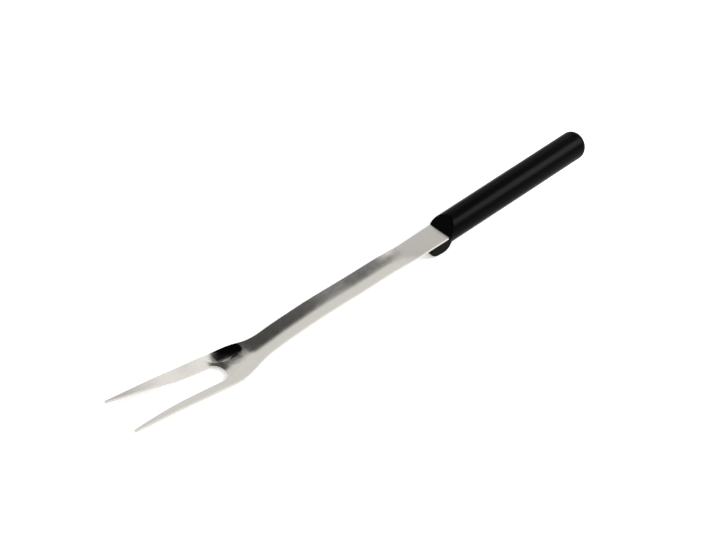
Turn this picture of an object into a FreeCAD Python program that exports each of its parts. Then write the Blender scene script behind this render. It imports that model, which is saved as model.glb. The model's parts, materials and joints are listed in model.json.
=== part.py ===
import FreeCAD, Part

import math
import os

from FreeCAD import Vector

# A two-tined flesh fork: one pressed steel blade with a moulded hook handle.
#
# Working frame, in millimetres. The sheet is flat where it enters the handle,
# and its top face there is the plane Z = 0. X = 0 is the front of the handle,
# the handle runs to +X and the tines point to -X. "Along" is the distance from
# the handle's front towards the tips, so X = -along. The finished pieces are
# then laid down on the points that the fork rests on.

# Sheet steel
SHEET_THICKNESS = 2.0
TOTAL_REACH = 328.6
FLAT_LENGTH = 36.0

# Plan outline of the blade, half-widths from the centre line
STRIP_HALF_WIDTH = 11.35
SHANK_HALF_WIDTH = 10.85
HEAD_HALF_WIDTH = 18.75
SHOULDER_TO_TIP = 92.6
FLARE_LENGTH = 44.0
FLARE_HOLLOW_SHARE = 0.44

# Slot between the tines, and the tines' own taper
SLOT_LENGTH = 94.4
SLOT_HALF_WIDTH = 9.6
TINE_ROOT_WIDTH = 8.55
TINE_ROOT_TO_TIP = 60.6
TINE_MIDDLE_WIDTH = 5.9
TINE_MIDDLE_TO_TIP = 34.6
TINE_POINT_WIDTH = 2.35
TINE_POINT_TO_TIP = 8.6
TIP_RADIUS = 0.5

# Cross-sections of the pressing: height of the outer edge, slope of the sides
# and breadth of the trough's rounded bottom. Those of the shank stand at a
# share of its length, and those of the head at a distance back from the tips.
SHANK_SECTIONS = [
    (0.00, 0.00, 0.00, 8.0),
    (0.20, 2.30, 0.46, 8.0),
    (0.41, 3.00, 0.51, 8.0),
    (0.70, 4.60, 0.52, 8.0),
    (0.90, 3.90, 0.52, 8.0),
]
HEAD_SECTIONS = [
    (124.6, 2.20, 0.42, 7.5),
    (112.6, 3.20, 0.27, 5.5),
    (98.6, 3.65, 0.20, 4.5),
    (94.6, 4.15, 0.25, 4.2),
    (85.6, 6.10, 0.38, 4.0),
    (74.6, 8.60, 0.40, 4.0),
    (60.6, 11.30, 0.35, 4.0),
    (45.6, 14.80, 0.28, 4.0),
    (30.6, 17.60, 0.18, 4.0),
    (-4.0, 23.90, 0.02, 4.0),
]
ROW_PITCH = 2.0
COLUMN_PITCH = 2.0

# Polished dish at the root of each tine, an ellipse turned in plan
DISH_TO_TIP = 101.8
DISH_OUT = 15.3
DISH_HALF_LENGTH = 18.0
DISH_HALF_WIDTH = 9.1
DISH_TURN = 21.0
DISH_DEPTH = 0.25
DISH_LIP_WIDTH = 1.3
DISH_PITCH = 0.65

# Tang hidden in the handle
TANG_HALF_WIDTH = 8.0
TANG_LENGTH = 128.0
TANG_SHOULDER = 6.0
TANG_END_RADIUS = 4.0
KEY_HOLE_RADIUS = 3.5
KEY_HOLE_COUNT = 3
KEY_HOLE_FIRST = 28.0
KEY_HOLE_PITCH = 38.0

# Handle body, a gently widening round bar
HANDLE_FRONT_RADIUS = 12.7
HANDLE_REAR_RADIUS = 13.4
HANDLE_LENGTH = 183.0
HANDLE_BEVEL_LENGTH = 10.5
HANDLE_BEVEL_DEPTH = 1.0
HANDLE_BEVEL_EDGE_RADIUS = 2.0
HANDLE_END_SLANT = 11.0
HANDLE_END_RADIUS = 6.0

# Hook under the handle's front
HOOK_HALF_WIDTH = 5.5
HOOK_EDGE_RADIUS = 1.6
HOOK_DROP = 22.8
HOOK_SOLE_BACK = 2.0
HOOK_SOLE_LENGTH = 5.4
HOOK_REACH = 15.2
HOOK_TIP_LEAN = 1.6
HOOK_TIP_DEPTH = 16.2
HOOK_HEEL_LENGTH = 9.4
HOOK_HEEL_RISE = 3.6
HOOK_ROOT_LENGTH = 13.8
HOOK_GAP_HEIGHT = 8.4
HOOK_GAP_FLOOR_END = 2.0
HOOK_GAP_HOLLOW_LENGTH = 5.0
HOOK_GAP_HOLLOW_RISE = 3.6
HOOK_GAP_HOLLOW_DEPTH = 1.0
HOOK_OVERLAP = 4.0

# Tools reach this far past the piece that they cut
TOOL_MARGIN = 3.0
TOOL_DEPTH = 80.0


def slot_start():
    """Distance along to the closed end of the slot."""
    return TOTAL_REACH - SLOT_LENGTH


def flare_end():
    """Distance along to the end of the shoulder, where the head is full width."""
    return TOTAL_REACH - SHOULDER_TO_TIP


def flare_start():
    """Distance along to the neck, where the shank begins to widen."""
    return flare_end() - FLARE_LENGTH


def pressing_stations():
    """Cross-sections as (along, edge height, side slope, bottom breadth)."""
    shank = flare_start() - FLAT_LENGTH
    rows = [(FLAT_LENGTH + share * shank, *rest) for share, *rest in SHANK_SECTIONS]
    rows += [(TOTAL_REACH - back, *rest) for back, *rest in HEAD_SECTIONS]
    return rows


def tangents(places, values):
    """Slopes at the stations of a smooth curve that never overshoots them."""
    rises = [
        (values[index + 1] - values[index]) / (places[index + 1] - places[index])
        for index in range(len(places) - 1)
    ]
    inner = [
        2.0 * before * after / (before + after) if before * after > 0.0 else 0.0
        for before, after in zip(rises, rises[1:])
    ]
    return [0.0] + inner + [rises[-1]]


STATIONS = pressing_stations()
PLACES = [row[0] for row in STATIONS]
PROFILES = [[row[column] for row in STATIONS] for column in (1, 2, 3)]
PROFILE_TANGENTS = [tangents(PLACES, profile) for profile in PROFILES]


def profile_at(column, along):
    """One of the cross-section's values at any distance along."""
    values = PROFILES[column]
    slopes = PROFILE_TANGENTS[column]
    along = max(along, PLACES[0])
    index = 0
    while index < len(PLACES) - 2 and along > PLACES[index + 1]:
        index += 1
    step = PLACES[index + 1] - PLACES[index]
    t = (along - PLACES[index]) / step
    start = (1.0 + 2.0 * t) * (1.0 - t) ** 2 * values[index]
    start += t * (1.0 - t) ** 2 * step * slopes[index]
    end = t * t * (3.0 - 2.0 * t) * values[index + 1]
    end += t * t * (t - 1.0) * step * slopes[index + 1]
    return start + end


def flare_angle():
    """Angle that the two arcs of the flare turn through."""
    return 2.0 * math.atan((HEAD_HALF_WIDTH - SHANK_HALF_WIDTH) / FLARE_LENGTH)


def flare_radii():
    """Radii of the hollow arc at the neck and the full arc at the shoulder."""
    total = FLARE_LENGTH / math.sin(flare_angle())
    hollow = total * FLARE_HOLLOW_SHARE
    return hollow, total - hollow


def half_width(along):
    """Half-width of the pressed outline at a distance from the handle."""
    hollow, full = flare_radii()
    change = flare_start() + hollow * math.sin(flare_angle())
    if along <= flare_start():
        return SHANK_HALF_WIDTH
    if along <= change:
        run = along - flare_start()
        return SHANK_HALF_WIDTH + hollow - math.sqrt(hollow ** 2 - run ** 2)
    if along <= flare_end():
        run = flare_end() - along
        return HEAD_HALF_WIDTH - full + math.sqrt(full ** 2 - run ** 2)
    return HEAD_HALF_WIDTH


def top_height(along, out):
    """Height of the pressed top face: a trough with a rounded bottom and even sides."""
    edge, slope, breadth = [profile_at(column, along) for column in range(3)]
    return edge - slope * (math.hypot(half_width(along), breadth) - math.hypot(out, breadth))


def bottom_height(along, out):
    """Height of the underside, one sheet thickness away square to the top face."""
    step = 0.25 * SHEET_THICKNESS
    lean_out = (top_height(along, out + step) - top_height(along, out - step)) / (2.0 * step)
    lean_along = (top_height(along + step, out) - top_height(along - step, out)) / (2.0 * step)
    return top_height(along, out) - SHEET_THICKNESS * math.sqrt(1.0 + lean_out ** 2 + lean_along ** 2)


def dish_height(along, out):
    """Floor of the dish: it drops off the rim over the lip's width, then follows the pressing."""
    turn = math.radians(DISH_TURN)
    run = along - (TOTAL_REACH - DISH_TO_TIP)
    across = out - DISH_OUT
    length = (run * math.cos(turn) + across * math.sin(turn)) / DISH_HALF_LENGTH
    width = (across * math.cos(turn) - run * math.sin(turn)) / DISH_HALF_WIDTH
    inside = (1.0 - math.hypot(length, width)) * DISH_HALF_WIDTH
    return top_height(along, out) - DISH_DEPTH * (1.0 - math.exp(-inside / DISH_LIP_WIDTH))


def surface_over(height, along_range, out_range, pitch_along, pitch_out):
    """Smooth face through a grid of heights over a rectangle of the plan."""
    rows = int(math.ceil((along_range[1] - along_range[0]) / pitch_along))
    columns = int(math.ceil((out_range[1] - out_range[0]) / pitch_out))
    grid = []
    for row in range(rows + 1):
        along = along_range[0] + (along_range[1] - along_range[0]) * row / rows
        line = []
        for column in range(columns + 1):
            out = out_range[0] + (out_range[1] - out_range[0]) * column / columns
            line.append(Vector(-along, out, height(along, out)))
        grid.append(line)
    surface = Part.BSplineSurface()
    surface.interpolate(grid)
    return surface.toShape()


def upright_prism(edges, low, high):
    """Solid with upright walls over a closed outline in the plan."""
    face = Part.Face(Part.Wire(edges))
    face.translate(Vector(0.0, 0.0, low))
    return face.extrude(Vector(0.0, 0.0, high - low))


def polygon(points):
    """Closed ring of straight edges."""
    return [Part.LineSegment(a, b).toShape() for a, b in zip(points, points[1:] + points[:1])]


def plan_point(along, out):
    """Point of the plan from its distance along and its distance out."""
    return Vector(-along, out, 0.0)


def flare_edges(side):
    """Outer edge from the flat's end to the shoulder: a line and two tangent arcs."""
    hollow, full = flare_radii()
    turn = flare_angle()
    start = plan_point(FLAT_LENGTH, side * SHANK_HALF_WIDTH)
    neck = plan_point(flare_start(), side * SHANK_HALF_WIDTH)
    neck_middle = plan_point(
        flare_start() + hollow * math.sin(turn / 2.0),
        side * (SHANK_HALF_WIDTH + hollow * (1.0 - math.cos(turn / 2.0))),
    )
    change = plan_point(
        flare_start() + hollow * math.sin(turn),
        side * (SHANK_HALF_WIDTH + hollow * (1.0 - math.cos(turn))),
    )
    shoulder_middle = plan_point(
        flare_end() - full * math.sin(turn / 2.0),
        side * (HEAD_HALF_WIDTH - full * (1.0 - math.cos(turn / 2.0))),
    )
    shoulder = plan_point(flare_end(), side * HEAD_HALF_WIDTH)
    return [
        Part.LineSegment(start, neck).toShape(),
        Part.Arc(neck, neck_middle, change).toShape(),
        Part.Arc(change, shoulder_middle, shoulder).toShape(),
    ]


def tine_edges(side):
    """Outer edge, rounded tip and tapering inner edge of one tine."""
    shoulder = plan_point(flare_end(), side * HEAD_HALF_WIDTH)
    tip_centre = plan_point(TOTAL_REACH - TIP_RADIUS, side * (HEAD_HALF_WIDTH - TIP_RADIUS))
    lean = math.atan2(TINE_POINT_WIDTH, TINE_POINT_TO_TIP)
    outer_end = tip_centre + Vector(0.0, side * TIP_RADIUS, 0.0)
    nose = tip_centre + Vector(-math.cos(lean / 2.0), side * math.sin(lean / 2.0), 0.0) * TIP_RADIUS
    inner_end = tip_centre + Vector(-math.sin(lean), -side * math.cos(lean), 0.0) * TIP_RADIUS
    widths = [
        (TINE_POINT_TO_TIP, TINE_POINT_WIDTH),
        (TINE_MIDDLE_TO_TIP, TINE_MIDDLE_WIDTH),
        (TINE_ROOT_TO_TIP, TINE_ROOT_WIDTH),
    ]
    inner = [inner_end]
    inner += [plan_point(TOTAL_REACH - back, side * (HEAD_HALF_WIDTH - width)) for back, width in widths]
    inner.append(plan_point(slot_start() + SLOT_HALF_WIDTH, side * SLOT_HALF_WIDTH))
    curve = Part.BSplineCurve()
    curve.interpolate(inner)
    return [
        Part.LineSegment(shoulder, outer_end).toShape(),
        Part.Arc(outer_end, nose, inner_end).toShape(),
        curve.toShape(),
    ]


def blade_outline():
    """Plan outline of shank and head, from the flat part's end to the tips."""
    edges = []
    for side in (1.0, -1.0):
        edges += flare_edges(side)
        edges += tine_edges(side)
    across = slot_start() + SLOT_HALF_WIDTH
    left = plan_point(across, SLOT_HALF_WIDTH)
    right = plan_point(across, -SLOT_HALF_WIDTH)
    edges.append(Part.Arc(left, plan_point(slot_start(), 0.0), right).toShape())
    flat_left = plan_point(FLAT_LENGTH, SHANK_HALF_WIDTH)
    flat_right = plan_point(FLAT_LENGTH, -SHANK_HALF_WIDTH)
    edges.append(Part.LineSegment(flat_left, flat_right).toShape())
    return Part.__sortEdges__(edges)


def make_dish_tool():
    """Body that sinks the dish into the +Y tine's root."""
    centre = TOTAL_REACH - DISH_TO_TIP
    turn = math.radians(DISH_TURN)
    reach = math.hypot(DISH_HALF_LENGTH * math.cos(turn), DISH_HALF_WIDTH * math.sin(turn))
    rise = math.hypot(DISH_HALF_LENGTH * math.sin(turn), DISH_HALF_WIDTH * math.cos(turn))
    floor = surface_over(
        dish_height,
        (centre - reach - DISH_LIP_WIDTH, centre + reach + DISH_LIP_WIDTH),
        (DISH_OUT - rise - DISH_LIP_WIDTH, HEAD_HALF_WIDTH + DISH_LIP_WIDTH),
        DISH_PITCH,
        DISH_PITCH,
    )
    return floor.extrude(Vector(0.0, 0.0, TOOL_DEPTH))


def make_head_and_shank():
    """Pressed part of the blade, from the end of the flat strip to the tips."""
    along_range = (FLAT_LENGTH - TOOL_MARGIN, TOTAL_REACH + TOOL_MARGIN)
    out_range = (-HEAD_HALF_WIDTH - TOOL_MARGIN, HEAD_HALF_WIDTH + TOOL_MARGIN)
    top = surface_over(top_height, along_range, out_range, ROW_PITCH, COLUMN_PITCH)
    bottom = surface_over(bottom_height, along_range, out_range, ROW_PITCH, COLUMN_PITCH)
    blank = upright_prism(blade_outline(), -TOOL_DEPTH / 2.0, TOOL_DEPTH / 2.0)
    pressing = blank.common(top.extrude(Vector(0.0, 0.0, -TOOL_DEPTH)))
    pressing = pressing.common(bottom.extrude(Vector(0.0, 0.0, TOOL_DEPTH)))
    dish = make_dish_tool()
    mirrored = dish.mirror(Vector(0.0, 0.0, 0.0), Vector(0.0, 1.0, 0.0))
    return pressing.cut(dish).cut(mirrored)


def make_strip_and_tang():
    """Flat strip in front of the handle and the holed tang inside it."""
    shoulder_end = TANG_SHOULDER + STRIP_HALF_WIDTH - TANG_HALF_WIDTH
    corners = [
        (-FLAT_LENGTH, SHANK_HALF_WIDTH),
        (0.0, STRIP_HALF_WIDTH),
        (TANG_SHOULDER, STRIP_HALF_WIDTH),
        (shoulder_end, TANG_HALF_WIDTH),
        (TANG_LENGTH, TANG_HALF_WIDTH),
    ]
    points = [Vector(x, y, 0.0) for x, y in corners]
    points += [Vector(x, -y, 0.0) for x, y in reversed(corners)]
    strip = upright_prism(polygon(points), -SHEET_THICKNESS, 0.0)
    rear = [edge for edge in strip.Edges if is_upright(edge) and edge.CenterOfMass.x > shoulder_end + 1.0]
    strip = strip.makeFillet(TANG_END_RADIUS, rear)
    for index in range(KEY_HOLE_COUNT):
        place = Vector(KEY_HOLE_FIRST + index * KEY_HOLE_PITCH, 0.0, -2.0 * SHEET_THICKNESS)
        strip = strip.cut(Part.makeCylinder(KEY_HOLE_RADIUS, 4.0 * SHEET_THICKNESS, place))
    return strip


def is_upright(edge):
    """True for a straight edge that runs along Z."""
    box = edge.BoundBox
    return box.ZLength > 0.5 * SHEET_THICKNESS and box.XLength + box.YLength < 0.1 * SHEET_THICKNESS


def make_blade():
    """Tines, head, shank and tang, all one piece of sheet."""
    return make_strip_and_tang().fuse(make_head_and_shank())


def side_prism(edges, half):
    """Solid of a side profile in the XZ plane, symmetric about Y = 0."""
    face = Part.Face(Part.Wire(edges))
    face.translate(Vector(0.0, -half, 0.0))
    return face.extrude(Vector(0.0, 2.0 * half, 0.0))


def side_point(x, z):
    """Point of the middle plane."""
    return Vector(x, 0.0, z)


def side_line(start, end):
    """Straight edge of a side profile."""
    return Part.LineSegment(start, end).toShape()


def side_arc(start, end, depth):
    """Arc between two points of a side profile that stands off its chord to the left."""
    chord = end - start
    normal = Vector(-chord.z, 0.0, chord.x).normalize()
    return Part.Arc(start, (start + end) / 2.0 + normal * depth, end).toShape()


def tangent_arc(start, heading, end):
    """Arc of a side profile that leaves its start point along a given heading."""
    chord = end - start
    turned = chord.z * heading.x - chord.x * heading.z
    half_angle = math.asin(turned / (chord.Length * heading.Length))
    return side_arc(start, end, -0.5 * chord.Length * math.tan(half_angle / 2.0))


def handle_axis_height():
    """The handle is moulded centred on the tang's thickness."""
    return -SHEET_THICKNESS / 2.0


def matching_edges(shape, wanted):
    """Edges of a changed shape that lie where the wanted edges of the old one lay."""
    return [
        edge
        for edge in shape.Edges
        if any((edge.CenterOfMass - old.CenterOfMass).Length < 0.1 * SHEET_THICKNESS for old in wanted)
    ]


def make_handle_body():
    """Round bar with a bevelled front and a slanted, rounded rear end."""
    axis = handle_axis_height()
    slant = math.tan(math.radians(HANDLE_END_SLANT))
    growth = (HANDLE_REAR_RADIUS - HANDLE_FRONT_RADIUS) / HANDLE_LENGTH
    bar_length = HANDLE_LENGTH + HANDLE_REAR_RADIUS
    rear_radius = HANDLE_FRONT_RADIUS + growth * bar_length
    origin = side_point(0.0, axis)
    bar = Part.makeCone(HANDLE_FRONT_RADIUS, rear_radius, bar_length, origin, Vector(1.0, 0.0, 0.0))
    clear = HANDLE_REAR_RADIUS + TOOL_MARGIN
    top = side_point(0.0, 0.0)
    bottom = side_point(0.0, 2.0 * axis)
    bevel_rise = HANDLE_FRONT_RADIUS + axis
    bevel_run = HANDLE_BEVEL_LENGTH * clear / bevel_rise
    over_front = side_point(bevel_run, clear)
    under_front = side_point(bevel_run, 2.0 * axis - clear)
    over_rear = side_point(HANDLE_LENGTH + (clear - HANDLE_REAR_RADIUS) * slant, clear)
    under_rear = side_point(HANDLE_LENGTH - (clear + HANDLE_REAR_RADIUS) * slant, 2.0 * axis - clear)
    outline = [
        side_line(bottom, top),
        side_arc(top, over_front, HANDLE_BEVEL_DEPTH),
        side_line(over_front, over_rear),
        side_line(over_rear, under_rear),
        side_line(under_rear, under_front),
        side_arc(under_front, bottom, HANDLE_BEVEL_DEPTH),
    ]
    body = bar.common(side_prism(outline, clear))
    rear_rim = []
    front_rim = []
    for edge in body.Edges:
        centre = edge.CenterOfMass
        if centre.x > HANDLE_LENGTH - HANDLE_REAR_RADIUS and edge.BoundBox.YLength > HANDLE_REAR_RADIUS:
            rear_rim.append(edge)
        if centre.x < HANDLE_BEVEL_LENGTH and centre.z > 0.25 * HANDLE_FRONT_RADIUS:
            front_rim.append(edge)
    body = body.makeFillet(HANDLE_END_RADIUS, rear_rim)
    return body.makeFillet(HANDLE_BEVEL_EDGE_RADIUS, matching_edges(body, front_rim))


def resting_pitch():
    """Angle through which the fork tips forward to lie on its hook and its belly."""
    slopes = []
    along = FLAT_LENGTH
    while along < slot_start():
        slopes.append((bottom_height(along, 0.0) + HOOK_DROP) / (along - HOOK_SOLE_BACK))
        along += 1.0
    return math.degrees(math.atan(min(slopes)))


def make_hook():
    """Forward-pointing hook that hangs the fork on a rail or a pot's rim."""
    axis = handle_axis_height()
    pitch = math.radians(resting_pitch())
    backwards = side_point(math.cos(pitch), -math.sin(pitch))
    sole_back = side_point(-HOOK_SOLE_BACK, -HOOK_DROP) + backwards * (HOOK_SOLE_LENGTH / 2.0)
    sole_front = sole_back - backwards * HOOK_SOLE_LENGTH
    gap_floor = -SHEET_THICKNESS - HOOK_GAP_HEIGHT
    under = axis - HANDLE_FRONT_RADIUS
    root_front = side_point(HANDLE_BEVEL_LENGTH, axis)
    root_back = side_point(HOOK_ROOT_LENGTH + HOOK_OVERLAP, axis)
    root = side_point(HOOK_ROOT_LENGTH, under + 0.25 * HOOK_OVERLAP)
    heel = side_point(HOOK_HEEL_LENGTH, -HOOK_DROP + HOOK_HEEL_RISE)
    tip_bottom = side_point(-HOOK_REACH + HOOK_TIP_LEAN, -HOOK_TIP_DEPTH)
    tip_top = side_point(-HOOK_REACH, gap_floor)
    floor_end = side_point(-HOOK_GAP_FLOOR_END, gap_floor)
    hollow_top = side_point(HOOK_GAP_HOLLOW_LENGTH, gap_floor + HOOK_GAP_HOLLOW_RISE)
    outline = [
        side_line(root_front, root_back),
        side_line(root_back, root),
        side_line(root, heel),
        tangent_arc(sole_back, backwards, heel),
        side_line(sole_back, sole_front),
        tangent_arc(sole_front, backwards * -1.0, tip_bottom),
        side_line(tip_bottom, tip_top),
        side_line(tip_top, floor_end),
        side_arc(floor_end, hollow_top, -HOOK_GAP_HOLLOW_DEPTH),
        side_line(hollow_top, root_front),
    ]
    hook = side_prism(Part.__sortEdges__(outline), HOOK_HALF_WIDTH)
    rounded = []
    for edge in hook.Edges:
        centre = edge.CenterOfMass
        crosswise = edge.BoundBox.YLength > HOOK_HALF_WIDTH
        at_tip = centre.x < tip_bottom.x + 0.5 * HOOK_EDGE_RADIUS
        below = centre.z < gap_floor - 0.5 * HOOK_EDGE_RADIUS
        if (crosswise and at_tip) or (not crosswise and below):
            rounded.append(edge)
    return hook.makeFillet(HOOK_EDGE_RADIUS, rounded)


def make_handle(blade):
    """One moulding round the tang; it fills the tang's key holes."""
    return make_handle_body().fuse(make_hook()).removeSplitter().cut(blade)


def lay_down(shapes):
    """Turn and lift the fork so that it lies on a table, centred over the origin."""
    box = FreeCAD.BoundBox()
    for shape in shapes:
        shape.rotate(Vector(0.0, 0.0, 0.0), Vector(0.0, 1.0, 0.0), -resting_pitch())
        box.add(shape.optimalBoundingBox(False, False))
    for shape in shapes:
        shape.translate(Vector(-box.Center.x, 0.0, -box.ZMin))
    return shapes


def main():
    os.makedirs("parts", exist_ok=True)
    blade = make_blade()
    pieces = {"blade": blade, "handle": make_handle(blade)}
    lay_down(list(pieces.values()))
    for name, shape in pieces.items():
        print(name, "solids", len(shape.Solids), "valid", shape.isValid(), "cubic mm", round(shape.Volume))
        shape.exportStep("parts/" + name + ".step")


main()
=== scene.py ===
"""Photographic scene of a two-tined flesh fork: pressed steel blade, moulded hook handle."""

from __future__ import annotations

import json
import logging
import math
from dataclasses import dataclass
from enum import Enum

import bpy
from mathutils import Matrix, Vector

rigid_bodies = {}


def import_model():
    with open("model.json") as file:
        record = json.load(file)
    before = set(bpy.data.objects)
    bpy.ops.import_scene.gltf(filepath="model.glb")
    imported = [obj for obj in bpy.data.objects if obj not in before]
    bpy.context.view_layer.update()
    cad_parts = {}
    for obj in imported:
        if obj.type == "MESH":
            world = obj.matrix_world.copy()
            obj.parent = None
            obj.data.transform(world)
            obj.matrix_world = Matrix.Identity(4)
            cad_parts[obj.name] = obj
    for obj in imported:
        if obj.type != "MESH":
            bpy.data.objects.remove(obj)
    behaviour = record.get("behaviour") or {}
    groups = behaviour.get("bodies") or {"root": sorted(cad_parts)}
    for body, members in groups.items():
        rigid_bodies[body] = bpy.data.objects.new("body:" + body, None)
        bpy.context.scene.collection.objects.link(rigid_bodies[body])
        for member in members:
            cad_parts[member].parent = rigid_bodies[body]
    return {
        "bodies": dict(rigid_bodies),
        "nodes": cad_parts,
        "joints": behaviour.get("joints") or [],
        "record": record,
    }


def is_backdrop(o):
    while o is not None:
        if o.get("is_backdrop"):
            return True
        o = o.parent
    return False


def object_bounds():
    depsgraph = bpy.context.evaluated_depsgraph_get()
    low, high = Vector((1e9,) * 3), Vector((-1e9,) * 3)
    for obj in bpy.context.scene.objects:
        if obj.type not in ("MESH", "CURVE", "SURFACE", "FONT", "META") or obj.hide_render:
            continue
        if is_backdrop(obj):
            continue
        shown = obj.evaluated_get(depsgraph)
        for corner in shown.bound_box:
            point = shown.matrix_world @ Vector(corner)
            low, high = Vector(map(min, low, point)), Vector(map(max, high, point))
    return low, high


LOG = logging.getLogger("flesh_fork")

Colour = tuple[float, float, float]
Triple = tuple[float, float, float]
Pair = tuple[float, float]
Socket = bpy.types.NodeSocket

WHITE: Colour = (1.0, 1.0, 1.0)

# Directions in the part's frame
TO_HANDLE: Triple = (1.0, 0.0, 0.0)
TO_FAR_SIDE: Triple = (0.0, 1.0, 0.0)
UP: Triple = (0.0, 0.0, 1.0)

# Most values of a noise node lie in this span
NOISE_SPAN: Pair = (0.3, 0.7)


class Slot(Enum):
    """Finish of a piece, named as the part's own material slots are."""

    STEEL = "steel"
    PLASTIC = "plastic"


class Operation(Enum):
    """What a math node makes of its numbers."""

    PRODUCT = "MULTIPLY"
    DIFFERENCE = "SUBTRACT"
    LARGER = "MAXIMUM"
    SIZE = "ABSOLUTE"
    BEYOND = "GREATER_THAN"


class Fade(Enum):
    """How a level changes over its span."""

    STRAIGHT = "LINEAR"
    SOFT = "SMOOTHSTEP"


def opaque(colour: Colour) -> tuple[float, float, float, float]:
    """Adds full opacity to a colour.

    Args:
        colour: linear red, green and blue.

    Returns:
        The same colour with an alpha of one.
    """
    return (*colour, 1.0)


class NodeGraph:
    """Builds the nodes of a material or of the surroundings."""

    def __init__(self, owner: bpy.types.Material | bpy.types.World) -> None:
        """Starts with an empty node tree.

        Args:
            owner: the material or world that gets the nodes.
        """
        owner.use_nodes = True
        self.tree = owner.node_tree
        self.tree.nodes.clear()

    def add(self, kind: str, **options: str) -> bpy.types.Node:
        """Adds one node.

        Args:
            kind: the node's type name.
            options: the node's own settings.

        Returns:
            The new node.
        """
        node = self.tree.nodes.new(kind)
        for name, option in options.items():
            setattr(node, name, option)
        return node

    def join(self, source: Socket, target: Socket) -> None:
        """Links an output socket to an input socket.

        Args:
            source: the output socket.
            target: the input socket.
        """
        self.tree.links.new(source, target)

    def feed(self, value: Socket | float, target: Socket) -> None:
        """Gives an input socket its value.

        Args:
            value: an output socket or a plain number.
            target: the input socket.
        """
        if isinstance(value, Socket):
            self.join(value, target)
        else:
            target.default_value = value

    def close(self, shader: Socket) -> None:
        """Sends a shader to the material's surface.

        Args:
            shader: the shader's output socket.
        """
        output = self.add("ShaderNodeOutputMaterial")
        self.join(shader, output.inputs["Surface"])

    def compute(self, operation: Operation, *values: Socket | float) -> Socket:
        """Adds a math node.

        Args:
            operation: what the node does.
            values: its inputs in order, as sockets or plain numbers.

        Returns:
            The result's socket.
        """
        node = self.add("ShaderNodeMath", operation=operation.value)
        for value, target in zip(values, node.inputs):
            self.feed(value, target)
        return node.outputs["Value"]

    def remap(self, source: Socket, span: Pair, levels: Pair, fade: Fade = Fade.STRAIGHT) -> Socket:
        """Turns a span of values into a change of level, held on both sides of the span.

        Args:
            source: socket with the values.
            span: values at which the change starts and ends.
            levels: level before and after the change.
            fade: how the level changes in between.

        Returns:
            The level's socket.
        """
        node = self.add("ShaderNodeMapRange", interpolation_type=fade.value)
        names = ("From Min", "From Max", "To Min", "To Max")
        for name, number in zip(names, (*span, *levels)):
            node.inputs[name].default_value = number
        self.join(source, node.inputs["Value"])
        return node.outputs["Result"]

    def mix(self, share: Socket, first: Socket, second: float) -> Socket:
        """Goes over from one value to another.

        Args:
            share: socket with the second value's share.
            first: socket with the first value.
            second: the second value.

        Returns:
            The mixed value's socket.
        """
        node = self.add("ShaderNodeMix")
        node.inputs["B"].default_value = second
        self.join(share, node.inputs["Factor"])
        self.join(first, node.inputs["A"])
        return node.outputs["Result"]

    def band(self, direction: Socket, axis: Triple, span: Pair, levels: Pair) -> Socket:
        """Makes a level that changes softly as a direction turns towards an axis.

        Args:
            direction: socket with the unit direction.
            axis: unit axis that the direction is compared with.
            span: cosines of the angle between them at which the change starts and ends.
            levels: level before and after the change.

        Returns:
            The level's socket.
        """
        cosine = self.add("ShaderNodeVectorMath", operation="DOT_PRODUCT")
        cosine.inputs[1].default_value = axis
        self.join(direction, cosine.inputs[0])
        return self.remap(cosine.outputs["Value"], span, levels, Fade.SOFT)

    def stretched_noise(self, scale: Triple, octaves: float) -> Socket:
        """Makes noise on object coordinates, stretched by an uneven scale.

        Args:
            scale: noise cells for each metre along X, Y and Z.
            octaves: levels of detail in the noise.

        Returns:
            The noise factor's socket.
        """
        place = self.add("ShaderNodeTexCoord")
        mapping = self.add("ShaderNodeMapping")
        mapping.inputs["Scale"].default_value = scale
        noise = self.add("ShaderNodeTexNoise")
        noise.inputs["Scale"].default_value = 1.0
        noise.inputs["Detail"].default_value = octaves
        self.join(place.outputs["Object"], mapping.inputs["Vector"])
        self.join(mapping.outputs["Vector"], noise.inputs["Vector"])
        return noise.outputs["Fac"]

    def bump(self, height: Socket, strength: Socket | float, depth: float) -> Socket:
        """Makes a fine relief.

        Args:
            height: socket with the relief's height, from zero to one.
            strength: share of the relief that shows, as a socket or a plain number.
            depth: the relief's depth in metres.

        Returns:
            The socket of the surface's new normal.
        """
        node = self.add("ShaderNodeBump")
        node.inputs["Distance"].default_value = depth
        self.feed(strength, node.inputs["Strength"])
        self.join(height, node.inputs["Height"])
        return node.outputs["Normal"]


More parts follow.
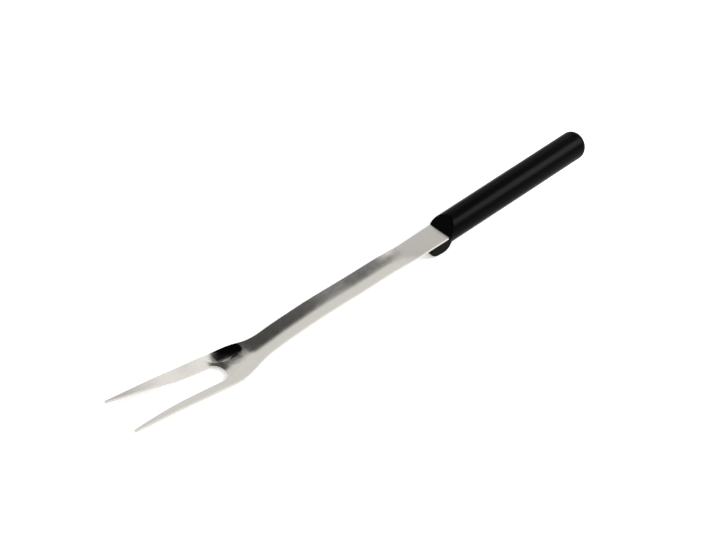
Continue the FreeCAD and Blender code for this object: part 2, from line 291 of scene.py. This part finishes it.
@dataclass(frozen=True)
class DishMask:
    """Where the two polished dishes lie, as mirrored ellipses in the plan of the level strip.

    The plan starts where the strip leaves the handle, and its X runs back along the handle.

    Attributes:
        pitch: degrees that turn the resting fork until its strip is level.
        shift: X in the plan of the part's own origin, in metres.
        centre: middle of the far dish in the plan.
        half_axes: half the length and half the width of the ellipse.
        turn: degrees from X to the long axis of the far dish.
        rim: share of the half axes at which the polish starts to fade.
        front_end: X in the plan at which the polish ends towards the tips.
    """

    pitch: float = 5.2208
    shift: float = -0.07628
    centre: Pair = (-0.2268, 0.0153)
    half_axes: Pair = (0.0180, 0.0091)
    turn: float = 159.0
    rim: float = 0.93
    front_end: float = -0.2338

    def build(self, graph: NodeGraph) -> Socket:
        """Adds the nodes of the mask.

        Args:
            graph: the nodes of the finish that reads the mask.

        Returns:
            A socket that is one inside the dishes and zero outside.
        """
        place = graph.add("ShaderNodeTexCoord")
        level = graph.add("ShaderNodeMapping")
        level.inputs["Rotation"].default_value = (0.0, math.radians(self.pitch), 0.0)
        level.inputs["Location"].default_value = (self.shift, 0.0, 0.0)
        split = graph.add("ShaderNodeSeparateXYZ")
        plan = graph.add("ShaderNodeCombineXYZ")
        ellipse = graph.add("ShaderNodeMapping", vector_type="TEXTURE")
        ellipse.inputs["Location"].default_value = (*self.centre, 0.0)
        ellipse.inputs["Rotation"].default_value = (0.0, 0.0, math.radians(self.turn))
        ellipse.inputs["Scale"].default_value = (*self.half_axes, 1.0)
        reach = graph.add("ShaderNodeVectorMath", operation="LENGTH")
        graph.join(place.outputs["Object"], level.inputs["Vector"])
        graph.join(level.outputs["Vector"], split.inputs["Vector"])
        graph.join(split.outputs["X"], plan.inputs["X"])
        graph.join(graph.compute(Operation.SIZE, split.outputs["Y"]), plan.inputs["Y"])
        graph.join(plan.outputs["Vector"], ellipse.inputs["Vector"])
        graph.join(ellipse.outputs["Vector"], reach.inputs[0])
        inside = graph.remap(reach.outputs["Value"], (self.rim, 1.0), (1.0, 0.0))
        behind = graph.compute(Operation.BEYOND, split.outputs["X"], self.front_end)
        return graph.compute(Operation.PRODUCT, inside, behind)


@dataclass(frozen=True)
class SteelFinish:
    """Satin stainless steel with a grain along the fork's length and polished dishes.

    Attributes:
        name: the material's name.
        colour: colour of the reflections.
        roughness: lowest and highest roughness of the grain.
        dish_roughness: roughness of the polished dishes.
        metallic: how metallic the satin sheet is. The dishes are wholly metallic.
        grain: cells of the grain for each metre along X, Y and Z.
        grain_octaves: levels of detail in the grain.
        grain_depth: depth of the grain in metres.
    """

    name: str = "brushed_stainless"
    colour: Colour = (0.665, 0.64, 0.595)
    roughness: Pair = (0.17, 0.23)
    dish_roughness: float = 0.05
    metallic: float = 0.92
    grain: Triple = (12.0, 2200.0, 2200.0)
    grain_octaves: float = 3.0
    grain_depth: float = 0.0000025

    def build(self) -> bpy.types.Material:
        """Makes the material.

        Returns:
            The finished material.
        """
        material = bpy.data.materials.new(self.name)
        graph = NodeGraph(material)
        shader = graph.add("ShaderNodeBsdfPrincipled")
        shader.inputs["Base Color"].default_value = opaque(self.colour)
        dishes = DishMask().build(graph)
        grain = graph.stretched_noise(self.grain, self.grain_octaves)
        satin = graph.remap(grain, NOISE_SPAN, self.roughness)
        roughness = graph.mix(dishes, satin, self.dish_roughness)
        metallic = graph.remap(dishes, (0.0, 1.0), (self.metallic, 1.0))
        outside = graph.compute(Operation.DIFFERENCE, 1.0, dishes)
        normal = graph.bump(grain, outside, self.grain_depth)
        graph.join(roughness, shader.inputs["Roughness"])
        graph.join(metallic, shader.inputs["Metallic"])
        graph.join(normal, shader.inputs["Normal"])
        graph.close(shader.outputs["BSDF"])
        return material


@dataclass(frozen=True)
class PlasticFinish:
    """Dense black moulding plastic with a fine pitted texture.

    Attributes:
        name: the material's name.
        colour: colour of the plastic.
        roughness: lowest and highest roughness of the texture.
        specular: level of the shine.
        pitting: cells of the texture for each metre along X, Y and Z.
        pitting_octaves: levels of detail in the texture.
        pitting_depth: depth of the pits in metres.
        pitting_strength: share of the pits' depth that shows.
    """

    name: str = "moulded_black"
    colour: Colour = (0.001, 0.00097, 0.00094)
    roughness: Pair = (0.27, 0.35)
    specular: float = 0.025
    pitting: Triple = (1500.0, 1500.0, 1500.0)
    pitting_octaves: float = 2.0
    pitting_depth: float = 0.00003
    pitting_strength: float = 0.4

    def build(self) -> bpy.types.Material:
        """Makes the material.

        Returns:
            The finished material.
        """
        material = bpy.data.materials.new(self.name)
        graph = NodeGraph(material)
        shader = graph.add("ShaderNodeBsdfPrincipled")
        shader.inputs["Base Color"].default_value = opaque(self.colour)
        shader.inputs["Specular IOR Level"].default_value = self.specular
        pits = graph.stretched_noise(self.pitting, self.pitting_octaves)
        roughness = graph.remap(pits, NOISE_SPAN, self.roughness)
        normal = graph.bump(pits, self.pitting_strength, self.pitting_depth)
        graph.join(roughness, shader.inputs["Roughness"])
        graph.join(normal, shader.inputs["Normal"])
        graph.close(shader.outputs["BSDF"])
        return material


@dataclass
class FramePiece:
    """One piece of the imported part, shown with its own finish.

    Attributes:
        node: the piece's name in the part.
        slot: the finish that it gets.
    """

    node: str
    slot: Slot

    def build(self, frame: dict, finishes: dict[Slot, bpy.types.Material]) -> bpy.types.Object:
        """Dresses the piece in its finish.

        Args:
            frame: what the frame loader returned.
            finishes: the material of each slot.

        Returns:
            The piece's object.
        """
        piece = frame["nodes"][self.node]
        piece.data.materials.clear()
        piece.data.materials.append(finishes[self.slot])
        return piece


@dataclass
class Blade(FramePiece):
    """The pressed sheet: strip, trough, slotted head and tines."""

    node: str = "blade"
    slot: Slot = Slot.STEEL


@dataclass
class Handle(FramePiece):
    """The moulding: round bar and hook."""

    node: str = "handle"
    slot: Slot = Slot.PLASTIC


@dataclass(frozen=True)
class SoftBox:
    """A square lamp aimed at the middle of the handle.

    Attributes:
        name: the lamp's name.
        place: where it stands, in metres.
        target: the point that it faces.
        size: its side in metres.
        power: its power in watts.
    """

    name: str = "side_box"
    place: Triple = (0.606, -0.377, 0.576)
    target: Triple = (0.16, 0.0, 0.03)
    size: float = 0.40
    power: float = 6.0

    def build(self) -> bpy.types.Object:
        """Places the lamp.

        Returns:
            The lamp object.
        """
        bpy.ops.object.light_add(type="AREA", location=self.place)
        lamp = bpy.context.object
        lamp.name = self.name
        lamp.data.size = self.size
        lamp.data.energy = self.power
        aim = Vector(self.target) - Vector(self.place)
        lamp.rotation_euler = aim.to_track_quat("-Z", "Y").to_euler()
        return lamp


@dataclass(frozen=True)
class Studio:
    """White table in a bright room with a dark ceiling and one brighter window.

    Each edge of the walls and the window is given as the two cosines, to one axis of the part's
    frame, between which the brightness changes.

    Attributes:
        floor_size: side of the table in metres.
        floor_colour: the table's colour.
        floor_glow: light that the table adds for the camera, for mirrors and for glass.
        wall: brightness of the walls.
        wall_top: edge between the walls and the ceiling, measured to the upright axis.
        ceiling: brightness of the ceiling.
        window: brightness of the window.
        window_top: upper edge of the window, measured to the upright axis.
        window_far_side: edge of the window on the far side, measured to the axis across the fork.
        window_front: edge of the window nearest to the tines, measured to the axis along the fork.
        backdrop: brightness that the camera itself sees behind the fork.
    """

    floor_size: float = 8.0
    floor_colour: Colour = (0.86, 0.86, 0.86)
    floor_glow: float = 0.42
    wall: float = 0.92
    wall_top: Pair = (0.64, 0.92)
    ceiling: float = 0.003
    window: float = 1.20
    window_top: Pair = (0.82, 0.88)
    window_far_side: Pair = (0.40, 0.52)
    window_front: Pair = (0.47, 0.56)
    backdrop: float = 1.0

    def build_floor(self) -> bpy.types.Object:
        """Makes the table that the fork lies on.

        Returns:
            The floor object.
        """
        bpy.ops.mesh.primitive_plane_add(size=self.floor_size, location=(0.0, 0.0, 0.0))
        floor = bpy.context.object
        floor.name = "floor"
        material = bpy.data.materials.new("floor_white")
        graph = NodeGraph(material)
        diffuse = graph.add("ShaderNodeBsdfDiffuse")
        diffuse.inputs["Color"].default_value = opaque(self.floor_colour)
        path = graph.add("ShaderNodeLightPath")
        seen = path.outputs["Is Camera Ray"]
        for ray in ("Is Glossy Ray", "Is Transmission Ray"):
            seen = graph.compute(Operation.LARGER, seen, path.outputs[ray])
        glow = graph.add("ShaderNodeEmission")
        graph.join(graph.compute(Operation.PRODUCT, seen, self.floor_glow), glow.inputs["Strength"])
        both = graph.add("ShaderNodeAddShader")
        graph.join(diffuse.outputs["BSDF"], both.inputs[0])
        graph.join(glow.outputs["Emission"], both.inputs[1])
        graph.close(both.outputs["Shader"])
        floor.data.materials.append(material)
        return floor

    def build_world(self) -> bpy.types.World:
        """Makes the surroundings that the steel reflects.

        Returns:
            The scene's world.
        """
        world = bpy.data.worlds.new("studio")
        bpy.context.scene.world = world
        graph = NodeGraph(world)
        direction = graph.add("ShaderNodeTexCoord").outputs["Generated"]
        room = graph.band(direction, UP, self.wall_top, (self.wall, self.ceiling))
        top = graph.band(direction, UP, self.window_top, (self.window, 0.0))
        side = graph.band(direction, TO_FAR_SIDE, self.window_far_side, (1.0, 0.0))
        front = graph.band(direction, TO_HANDLE, self.window_front, (0.0, 1.0))
        window = graph.compute(Operation.PRODUCT, graph.compute(Operation.PRODUCT, top, side), front)
        lit = graph.compute(Operation.LARGER, room, window)
        path = graph.add("ShaderNodeLightPath")
        strength = graph.mix(path.outputs["Is Camera Ray"], lit, self.backdrop)
        background = graph.add("ShaderNodeBackground")
        background.inputs["Color"].default_value = opaque(WHITE)
        output = graph.add("ShaderNodeOutputWorld")
        graph.join(strength, background.inputs["Strength"])
        graph.join(background.outputs["Background"], output.inputs["Surface"])
        return world


@dataclass(frozen=True)
class PhotoCamera:
    """Camera at the photograph's viewing angle.

    Attributes:
        place: where it stands, in metres.
        forward: the direction that it looks in.
        right: the direction that runs to the right in the picture.
        lens: focal length in millimetres.
        sensor: width of the sensor in millimetres.
    """

    place: Triple = (-0.59876, -0.54212, 0.69614)
    forward: Triple = (0.55748, 0.52407, -0.64387)
    right: Triple = (0.72665, -0.68311, 0.07315)
    lens: float = 64.44
    sensor: float = 36.0

    def build(self) -> bpy.types.Object:
        """Places the camera and makes it the scene's own.

        Returns:
            The camera object.
        """
        forward = Vector(self.forward).normalized()
        right = Vector(self.right).normalized()
        up = right.cross(forward)
        turn = Matrix((right, up, -forward)).transposed()
        bpy.ops.object.camera_add(location=self.place, rotation=turn.to_euler())
        camera = bpy.context.object
        camera.name = "photo_camera"
        camera.data.lens = self.lens
        camera.data.sensor_width = self.sensor
        camera.data.dof.use_dof = False
        bpy.context.scene.camera = camera
        return camera


def write_bounds(label: str, sizes: dict[str, list[list[float]]]) -> None:
    """Args:
        label: when the bounds were taken.
        sizes: the record so far, which is extended.
    """
    low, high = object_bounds()
    sizes[label] = [list(low), list(high)]


def main() -> None:
    """Builds the whole scene in order."""
    logging.basicConfig(level=logging.INFO, format="%(name)s %(message)s")
    bpy.ops.object.select_all(action="SELECT")
    bpy.ops.object.delete()
    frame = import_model()
    sizes: dict[str, list[list[float]]] = {}
    write_bounds("loaded", sizes)
    finishes = {Slot.STEEL: SteelFinish().build(), Slot.PLASTIC: PlasticFinish().build()}
    for part in (Blade(), Handle()):
        piece = part.build(frame, finishes)
        LOG.info("%s: %d faces, %s", piece.name, len(piece.data.polygons), part.slot.value)
    studio = Studio()
    studio.build_floor()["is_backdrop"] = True
    world = studio.build_world()
    LOG.info("%s: window of strength %.2f", world.name, studio.window)
    lamp = SoftBox().build()
    LOG.info("%s: %.1f W", lamp.name, lamp.data.energy)
    camera = PhotoCamera().build()
    LOG.info("%s: %.2f mm", camera.name, camera.data.lens)
    bpy.context.scene.view_settings.view_transform = "Standard"
    write_bounds("finished", sizes)


if __name__ == "__main__":
    main()
